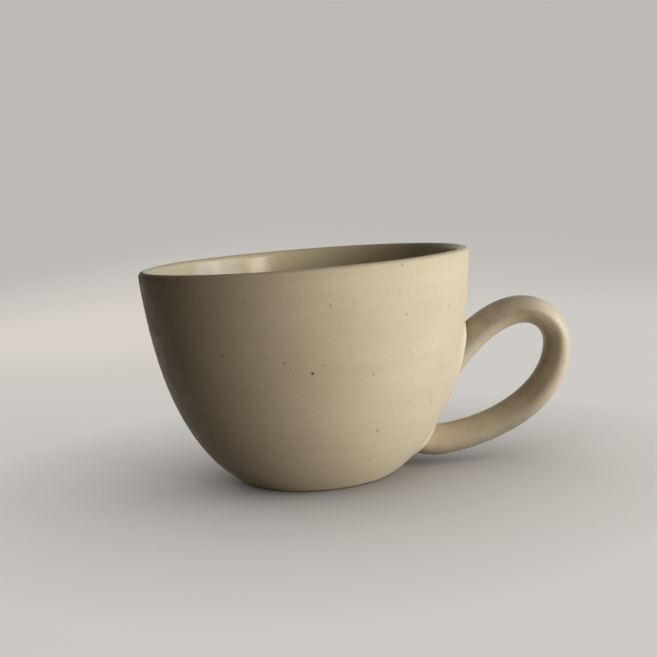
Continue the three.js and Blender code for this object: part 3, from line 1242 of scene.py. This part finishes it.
@dataclass(frozen=True)
class SatinGlaze:
    """Satin cream glaze: cloudy tone, faint rings, iron specks, pinholes, thin and brown at its edges."""

    name: str = "satin_glaze"
    cream: Colour = (0.735, 0.645, 0.48)
    buff: Colour = (0.66, 0.57, 0.41)
    thin_tone: Colour = (0.40, 0.29, 0.175)
    thin_share: float = 0.36
    thin_matt: float = 0.3
    patch: float = 2.4 * MM
    patch_low: float = 0.5
    streaked: bool = False
    ring_share: float = 0.45
    iron: Colour = (0.075, 0.045, 0.025)
    rust: Colour = (0.36, 0.21, 0.11)
    # Paler tone of pooled glaze, partly a painted highlight on the beads
    pool_and_highlight_tone: Colour = (0.86, 0.79, 0.64)
    pool_gloss: float = 0.16
    sheen: float = 0.11
    roughness: Span = (0.46, 0.62)
    thin_grain: float = 0.1 * MM
    grain_depth: float = 0.04 * MM
    ring_depth: float = 0.1 * MM
    pinhole_depth: float = 0.1 * MM
    raggedness: float = 0.3 * MM
    ragged_size: float = 0.35 * MM
    cloud: float = 24 * MM
    cloud_share: float = 0.55
    ring: float = 3.2 * MM
    ring_draw: float = 0.05
    streak_draw: float = 0.12
    grain: float = 0.8 * MM
    grain_share: float = 0.09
    bump_grain: float = 0.55 * MM
    thin_lump: float = 1.1 * MM
    gloss_patch: float = 5 * MM
    freckles: Dots = Dots(spacing=2.4 * MM, largest=0.55 * MM, rarity=1.6, share=0.16)
    specks: Dots = Dots(spacing=3.4 * MM, largest=0.55 * MM, rarity=2.2, share=0.4)
    pinholes: Dots = Dots(spacing=2.1 * MM, largest=0.17 * MM, rarity=2.0, share=0.3)

    @classmethod
    def on_strap(cls) -> "SatinGlaze":
        """The same glaze where it lies thin on the pulled strap, streaked along its length."""
        # On the strap the brown thin tone is partly a real thin coat and partly painted shade
        return cls("strap_satin_glaze", thin_tone=(0.28, 0.228, 0.162), thin_share=0.95, patch=6 * MM,
                   patch_low=0.78, streaked=True, ring_share=0.9, thin_matt=0.0, thin_grain=0.0, sheen=0.4,
                   roughness=(0.28, 0.38))

    @classmethod
    def in_pools(cls) -> "SatinGlaze":
        """The same glaze where it gathers thick against the strap, paler and with more gloss."""
        # Paler where the glaze pools, partly as a painted highlight
        return cls("bead_satin_glaze", thin_matt=0.0, thin_grain=0.0, sheen=0.2)

    def material(self, spots: list[Spot]) -> bpy.types.Material:
        """The coat's material.

        Args:
            spots: The chosen specks.

        Returns:
            The material.
        """
        shader = Shader(self.name)
        shader.surface.inputs["Specular IOR Level"].default_value = self.sheen
        cloud = shader.remap(shader.noise(self.cloud, detail=4.0), *MIDDLE_BAND)
        flow = shader.swept(self.streak_draw) if self.streaked else shader.stretched(self.ring_draw)
        rings = shader.noise(self.ring, detail=4.0, place=flow)
        colour = shader.stain(cloud, self.cloud_share, self.cream, self.buff)
        colour = shader.mix(shader.remap(rings, *UPPER_BAND, to_high=self.ring_share), colour, self.buff)
        grain = shader.remap(shader.noise(self.grain, detail=5.0), *UPPER_BAND, to_high=self.grain_share)
        colour = shader.mix(grain, colour, self.thin_tone)
        colour = shader.stain(shader.specks(self.freckles), self.freckles.share, colour, self.rust)
        least = self.patch_low * self.thin_share
        patches = shader.remap(shader.noise(self.patch), *LOWER_BAND, least, self.thin_share)
        # Brown where the coat is thin: a real glaze break on the lip, and also painted shade and light on
        # the strap and on the bead's inside
        colour = shader.stain(shader.mark("thin"), patches, colour, self.thin_tone)
        # Pooled glaze, paler partly as a painted highlight
        colour = shader.mix(shader.mark("pool"), colour, self.pool_and_highlight_tone)
        wavy = self.ragged(shader)
        speck = shader.times(shader.specks(self.specks), self.specks.share)
        for spot in spots:
            dark = shader.times(shader.spot(spot.centre, spot.radius, wavy), spot.darkness)
            speck = shader.math("MAXIMUM", speck, dark)
        colour = shader.mix(speck, colour, self.iron)
        pinholes = shader.specks(self.pinholes)
        colour = shader.stain(pinholes, self.pinholes.share, colour, self.thin_tone)
        rough = shader.remap(shader.noise(self.gloss_patch, detail=4.0), *MIDDLE_BAND, *self.roughness)
        matt = shader.times(shader.mark("thin"), self.thin_matt)
        gloss = shader.times(shader.mark("pool"), self.pool_gloss)
        rough = shader.math("SUBTRACT", shader.math("ADD", rough, matt), gloss)
        normal = shader.bump(shader.noise(self.bump_grain), self.grain_depth)
        normal = shader.bump(rings, self.ring_depth, normal)
        lumps = shader.times(shader.noise(self.thin_lump), shader.mark("thin"))
        normal = shader.bump(lumps, self.thin_grain, normal)
        normal = shader.bump(shader.math("SUBTRACT", 1.0, pinholes), self.pinhole_depth, normal)
        return shader.finish(colour, rough, normal)

    def ragged(self, shader: Shader) -> Socket:
        """Object coordinates pushed about by fine noise, so that the chosen specks have ragged edges.

        Args:
            shader: The material under construction.

        Returns:
            The coordinates.
        """
        jitter = shader.node("ShaderNodeTexNoise")
        jitter.inputs["Scale"].default_value = 1 / self.ragged_size
        shader.feed(jitter.inputs["Vector"], shader.place)
        small = shader.node("ShaderNodeVectorMath", operation="MULTIPLY_ADD")
        shader.feed(small.inputs[0], jitter.outputs["Color"])
        small.inputs[1].default_value = (self.raggedness,) * 3
        shader.feed(small.inputs[2], shader.place)
        level = shader.node("ShaderNodeVectorMath", operation="SUBTRACT")
        shader.feed(level.inputs[0], small.outputs["Vector"])
        level.inputs[1].default_value = (self.raggedness / 2,) * 3
        return level.outputs["Vector"]


@dataclass(frozen=True)
class GlossGlaze:
    """Glossy pale liner: an even milky cream with faint rings and a few small specks."""

    cream: Colour = (0.59, 0.515, 0.36)
    shade: Colour = (0.53, 0.45, 0.305)
    sheen: float = 0.22
    iron: Colour = (0.14, 0.09, 0.05)
    thin_tone: Colour = (0.45, 0.34, 0.215)
    roughness: Span = (0.14, 0.24)
    ripple: float = 1.6 * MM
    ripple_depth: float = 0.035 * MM
    ring: float = 3.6 * MM
    ring_draw: float = 0.06
    ring_share: float = 0.5
    specks: Dots = Dots(spacing=3.4 * MM, largest=0.3 * MM, rarity=2.4, share=0.7)
    patch: float = 2.4 * MM
    patch_share: Span = (0.2, 0.6)
    gloss_patch: float = 6 * MM

    def material(self) -> bpy.types.Material:
        """The liner's material.

        Returns:
            The material.
        """
        shader = Shader("gloss_glaze")
        shader.surface.inputs["Specular IOR Level"].default_value = self.sheen
        rings = shader.noise(self.ring, detail=4.0, place=shader.stretched(self.ring_draw))
        rings = shader.remap(rings, *MIDDLE_BAND, to_high=self.ring_share)
        colour = shader.mix(rings, self.cream, self.shade)
        colour = shader.stain(shader.specks(self.specks), self.specks.share, colour, self.iron)
        patches = shader.remap(shader.noise(self.patch), *LOWER_BAND, *self.patch_share)
        colour = shader.stain(shader.mark("thin"), patches, colour, self.thin_tone)
        rough = shader.remap(shader.noise(self.gloss_patch, detail=4.0), *MIDDLE_BAND, *self.roughness)
        normal = shader.bump(shader.noise(self.ripple, detail=2.0), self.ripple_depth)
        return shader.finish(colour, rough, normal)


@dataclass(frozen=True)
class BareClay:
    """Fired stoneware without glaze: warm brown, matt and gritty."""

    brown: Colour = (0.5, 0.37, 0.24)
    dark: Colour = (0.36, 0.25, 0.155)
    grog_tone: Colour = (0.2, 0.13, 0.08)
    roughness: Span = (0.82, 0.95)
    cloud: float = 9 * MM
    grog: Dots = Dots(spacing=1.1 * MM, largest=0.22 * MM, rarity=1.5, share=0.7)
    matt_patch: float = 2 * MM
    grit: float = 0.3 * MM
    grit_depth: float = 0.07 * MM

    def material(self) -> bpy.types.Material:
        """The clay's material.

        Returns:
            The material.
        """
        shader = Shader("bare_clay")
        cloud = shader.remap(shader.noise(self.cloud, detail=5.0), *MIDDLE_BAND)
        colour = shader.mix(cloud, self.brown, self.dark)
        colour = shader.stain(shader.specks(self.grog), self.grog.share, colour, self.grog_tone)
        rough = shader.remap(shader.noise(self.matt_patch), *MIDDLE_BAND, *self.roughness)
        normal = shader.bump(shader.noise(self.grit, detail=4.0), self.grit_depth)
        return shader.finish(colour, rough, normal)


@dataclass(frozen=True)
class PhotoCamera:
    """The photograph's camera, level with the mug's upper part and a little rolled."""

    distance: float = 357 * MM
    height: float = 90.4 * MM
    yaw_deg: float = 0.973
    pitch_deg: float = -7.221
    roll_deg: float = -4.528
    focal: float = 63.13
    sensor: float = 36.0
    ray_margin: float = 1.2
    ray_steps: int = 40000

    def axes(self) -> Array:
        """The camera's directions, from its yaw, pitch and roll.

        Returns:
            Right, up and forward, one a row.
        """
        yaw, pitch, roll = (math.radians(a) for a in (self.yaw_deg, self.pitch_deg, self.roll_deg))
        flat = math.cos(pitch)
        forward = np.array([math.sin(yaw) * flat, math.cos(yaw) * flat, math.sin(pitch)])
        level = np.array([math.cos(yaw), -math.sin(yaw), 0.0])
        rise = np.cross(level, forward)
        right = math.cos(roll) * level + math.sin(roll) * rise
        up = math.cos(roll) * rise - math.sin(roll) * level
        return np.array([right, up, forward])

    def place(self) -> Array:
        """Where the camera stands."""
        return np.array([0.0, -self.distance, self.height])

    def build(self) -> None:
        """Makes the camera and gives it to the scene."""
        right, up, forward = self.axes()
        data = bpy.data.cameras.new("photo_camera")
        data.lens = self.focal
        data.sensor_width = self.sensor
        camera = add_object("photo_camera", data)
        turned = np.eye(4)
        turned[:3] = np.column_stack([right, up, -forward, self.place()])
        camera.matrix_world = Matrix(turned.tolist())
        bpy.context.scene.camera = camera

    def on_wall(self, speck: Speck, wall: Wall) -> Array:
        """The place on the glazed wall that a pixel of the photograph shows.

        The pixel's ray is walked in even steps from the camera to the axis, and the place is the first step
        inside the wall's pressed surface.

        Args:
            speck: The speck with its pixel.
            wall: The turned wall.

        Returns:
            A point on the wall.
        """
        right, up, forward = self.axes()
        pixels = self.focal / self.sensor * PHOTO_SIDE
        half = PHOTO_SIDE / 2
        rightwards, downwards = (pixel + 0.5 - half for pixel in (speck.across, speck.down))
        ray = forward + right * rightwards / pixels - up * downwards / pixels
        first = self.distance - self.ray_margin * wall.rim_radius
        depth = np.linspace(first, self.distance, self.ray_steps)
        points = self.place() + depth[:, None] * ray
        theta = np.arctan2(points[:, 1], points[:, 0])
        return points[np.argmax(wall.clearance(points) + wall.relief(theta, points[:, 2]) < 0)]


@dataclass(frozen=True)
class Softbox:
    """A soft lamp, placed by its direction from the mug. A small spread narrows its light to a beam."""

    name: str
    azimuth_deg: float
    elevation_deg: float
    distance: float
    width: float
    tall: float
    power: float
    colour: Colour = (1.0, 1.0, 1.0)
    mirrored: bool = True
    spread_deg: float = 180.0

    def build(self, aim: Vector) -> None:
        """Makes the lamp, turned towards a point.

        Args:
            aim: The point that it lights.
        """
        azimuth, elevation = math.radians(self.azimuth_deg), math.radians(self.elevation_deg)
        flat = math.cos(elevation)
        towards = Vector((math.cos(azimuth) * flat, math.sin(azimuth) * flat, math.sin(elevation)))
        data = bpy.data.lights.new(self.name, "AREA")
        data.shape = "RECTANGLE"
        data.spread = math.radians(self.spread_deg)
        data.size = self.width
        data.size_y = self.tall
        data.energy = self.power
        data.color = self.colour
        lamp = add_object(self.name, data)
        lamp.location = aim + towards * self.distance
        lamp.rotation_euler = towards.to_track_quat("Z", "Y").to_euler()
        lamp.visible_camera = False
        lamp.visible_glossy = self.mirrored


LAMPS = (
    Softbox("window_front", azimuth_deg=-52.0, elevation_deg=8.5, distance=1.1, width=0.32, tall=0.24,
            power=3.8, colour=(1.14, 1.0, 0.85)),
    Softbox("window_middle", azimuth_deg=-24.0, elevation_deg=10.0, distance=1.1, width=0.55, tall=0.5,
            power=5.7, colour=(0.97, 1.0, 0.91)),
    Softbox("window_right", azimuth_deg=-6.0, elevation_deg=10.0, distance=1.1, width=0.45, tall=0.5,
            power=3.7, colour=(0.87, 1.0, 1.3)),
    Softbox("back_fill", azimuth_deg=108.0, elevation_deg=11.0, distance=0.7, width=0.45, tall=0.2,
            power=1.6, colour=(1.0, 0.91, 0.8), mirrored=False),
    Softbox("ceiling", azimuth_deg=90.0, elevation_deg=82.0, distance=1.3, width=0.9, tall=0.9,
            power=0.6, colour=(1.0, 0.93, 0.84)),
    Softbox("inside_fill", azimuth_deg=90.0, elevation_deg=90.0, distance=1.0, width=0.05, tall=0.05,
            power=0.003, colour=(1.0, 0.95, 0.88), mirrored=False, spread_deg=3.0),
)


@dataclass
class Studio:
    """A pale floor that sweeps up into a backdrop, soft lamps, and a surround that gives little light."""

    aim: Vector
    floor_front: float = 2.4
    floor_back: float = 0.45
    sweep_radius: float = 0.7
    wall_top: float = 2.6
    half_width: float = 3.0
    bend_rows: int = 48
    columns: int = 9
    paper_tone: Colour = (0.31, 0.295, 0.27)
    pale: Colour = (0.62, 0.60, 0.57)
    glow: float = 0.82
    unlit: Colour = (0.0, 0.0, 0.0)
    pool_inner: float = 0.3
    pool_outer: float = 0.75
    # Reach, power and samples of the contact shadow painted into the floor's glow
    shade_reach: float = 90 * MM
    shade_power: float = 1.4
    shade_samples: int = 6
    surround: Colour = (1.0, 0.78, 0.56)
    surround_level: float = 0.012

    def sweep(self) -> bpy.types.Object:
        """The floor and backdrop: a level run, a quarter circle and an upright run, carried along X.

        Returns:
            The stage's object.
        """
        bend = np.linspace(0, math.pi / 2, self.bend_rows)
        y = np.r_[-self.floor_front, self.floor_back + self.sweep_radius * np.sin(bend)]
        y = np.r_[y, self.floor_back + self.sweep_radius]
        z = np.r_[0, self.sweep_radius * (1 - np.cos(bend)), self.wall_top]
        x = np.linspace(-self.half_width, self.half_width, self.columns)
        points = np.stack(np.broadcast_arrays(x[None], y[:, None], z[:, None]), -1)
        rows, columns = points.shape[:2]
        number = np.arange(rows * columns).reshape(rows, columns)
        quads = np.stack([number[:-1, :-1], number[:-1, 1:], number[1:, 1:], number[1:, :-1]], -1)
        mesh = bpy.data.meshes.new("sweep")
        mesh.from_pydata(points.reshape(-1, 3).tolist(), [], quads.reshape(-1, 4).tolist())
        mesh.shade_smooth()
        mesh.materials.append(self.paper())
        return add_object("sweep", mesh)

    def paper(self) -> bpy.types.Material:
        """Pale matt paper that takes the lamps' light in a pool round the mug.

        It glows where a camera, a gloss or a clear surface sees it, and ambient occlusion paints a contact
        shadow into that glow round the mug.

        Returns:
            The material.
        """
        shader = Shader("paper")
        shader.surface.inputs["Roughness"].default_value = 1.0
        shader.surface.inputs["Specular IOR Level"].default_value = 0.0
        shader.surface.inputs["Emission Color"].default_value = (*self.pale, 1.0)
        reach = shader.node("ShaderNodeVectorMath", operation="LENGTH")
        shader.feed(reach.inputs[0], shader.place)
        far = shader.remap(reach.outputs["Value"], self.pool_inner, self.pool_outer)
        shader.feed(shader.surface.inputs["Base Color"], shader.mix(far, self.paper_tone, self.unlit))
        # Painted contact shadow: ambient occlusion darkens the glow near the mug
        near = shader.node("ShaderNodeAmbientOcclusion", samples=self.shade_samples)
        near.inputs["Distance"].default_value = self.shade_reach
        painted_contact_shadow = shader.math("POWER", near.outputs["AO"], self.shade_power)
        lit = shader.times(shader.times(shader.seen(), painted_contact_shadow), self.glow)
        shader.feed(shader.surface.inputs["Emission Strength"], lit)
        return shader.material

    def surroundings(self) -> None:
        """Sets the world: pale where a camera, a gloss or a clear surface sees it, and dim to the rest."""
        world = bpy.data.worlds.new("surround")
        bpy.context.scene.world = world
        world.use_nodes = True
        nodes = Nodes(world.node_tree)
        dim = nodes.tree.nodes["Background"]
        dim.inputs["Color"].default_value = (*self.surround, 1.0)
        dim.inputs["Strength"].default_value = self.surround_level
        bright = nodes.node("ShaderNodeBackground")
        bright.inputs["Color"].default_value = (*self.pale, 1.0)
        bright.inputs["Strength"].default_value = self.glow
        both = nodes.node("ShaderNodeMixShader")
        nodes.feed(both.inputs["Fac"], nodes.seen())
        nodes.feed(both.inputs[1], dim.outputs["Background"])
        nodes.feed(both.inputs[2], bright.outputs["Background"])
        nodes.feed(nodes.tree.nodes["World Output"].inputs["Surface"], both.outputs["Shader"])

    def build(self) -> None:
        """Builds the stage, the lamps and the surround."""
        self.sweep()
        self.surroundings()
        for lamp in LAMPS:
            lamp.build(self.aim)


IRON_SPECKS = (
    Speck(312, 373, 1.27 * MM, 0.95),
    Speck(284, 363, 1.20 * MM, 0.52),
    Speck(377, 430, 1.05 * MM, 0.60),
    Speck(222, 356, 1.05 * MM, 0.45),
    Speck(330, 305, 1.12 * MM, 0.46),
    Speck(298, 371, 0.98 * MM, 0.38),
    Speck(373, 374, 1.05 * MM, 0.38),
    Speck(323, 365, 0.90 * MM, 0.36),
    Speck(402, 264, 0.98 * MM, 0.46),
    Speck(192, 298, 0.90 * MM, 0.38),
    Speck(271, 365, 0.90 * MM),
    Speck(350, 356, 0.90 * MM),
    Speck(399, 290, 0.90 * MM),
    Speck(416, 291, 0.83 * MM),
    Speck(353, 302, 0.83 * MM),
    Speck(421, 338, 0.90 * MM),
    Speck(409, 350, 0.90 * MM),
    Speck(412, 355, 0.83 * MM),
    Speck(423, 359, 0.90 * MM),
    Speck(414, 405, 0.90 * MM),
    Speck(414, 421, 0.90 * MM),
    Speck(245, 397, 0.90 * MM),
)


def main() -> None:
    """Builds the mug's pieces in order, then the studio and the camera."""
    logging.basicConfig(level=logging.INFO, format="%(name)s: %(message)s")
    low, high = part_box("outer_glaze")
    wall = Wall(height=high.z, rim_radius=-low.x)
    loop = Loop(wall)
    camera = PhotoCamera()
    spots = [Spot(camera.on_wall(speck, wall), speck.width / 2, speck.darkness) for speck in IRON_SPECKS]
    satin = SatinGlaze().material(spots)
    strap_satin = SatinGlaze.on_strap().material([])
    pooled_satin = SatinGlaze.in_pools().material([])
    upper = SlipBead(loop, "upper_slip_bead", HandleEnd.UPPER, height=1.6 * MM, margin=3.4 * MM)
    lower = SlipBead(loop, "lower_slip_bead", HandleEnd.LOWER, height=1.0 * MM, margin=3.4 * MM)
    ClayBowl(wall).dress(BareClay().material(), Slot.BARE_CLAY, "cup_body")
    OuterCoat(wall).dress(satin, Slot.SATIN_GLAZE, "outer_glaze")
    Liner(wall).dress(GlossGlaze().material(), Slot.GLOSS_GLAZE, "inner_glaze")
    Handle(loop).dress(strap_satin, Slot.SATIN_GLAZE, "handle")
    upper.dress(pooled_satin, Slot.SATIN_GLAZE, "upper_slip_joint")
    lower.dress(pooled_satin, Slot.SATIN_GLAZE, "lower_slip_joint")
    camera.build()
    Studio(aim=Vector((0.0, 0.0, wall.height / 2))).build()
    bpy.context.scene.view_settings.view_transform = "Standard"


if __name__ == "__main__":
    main()
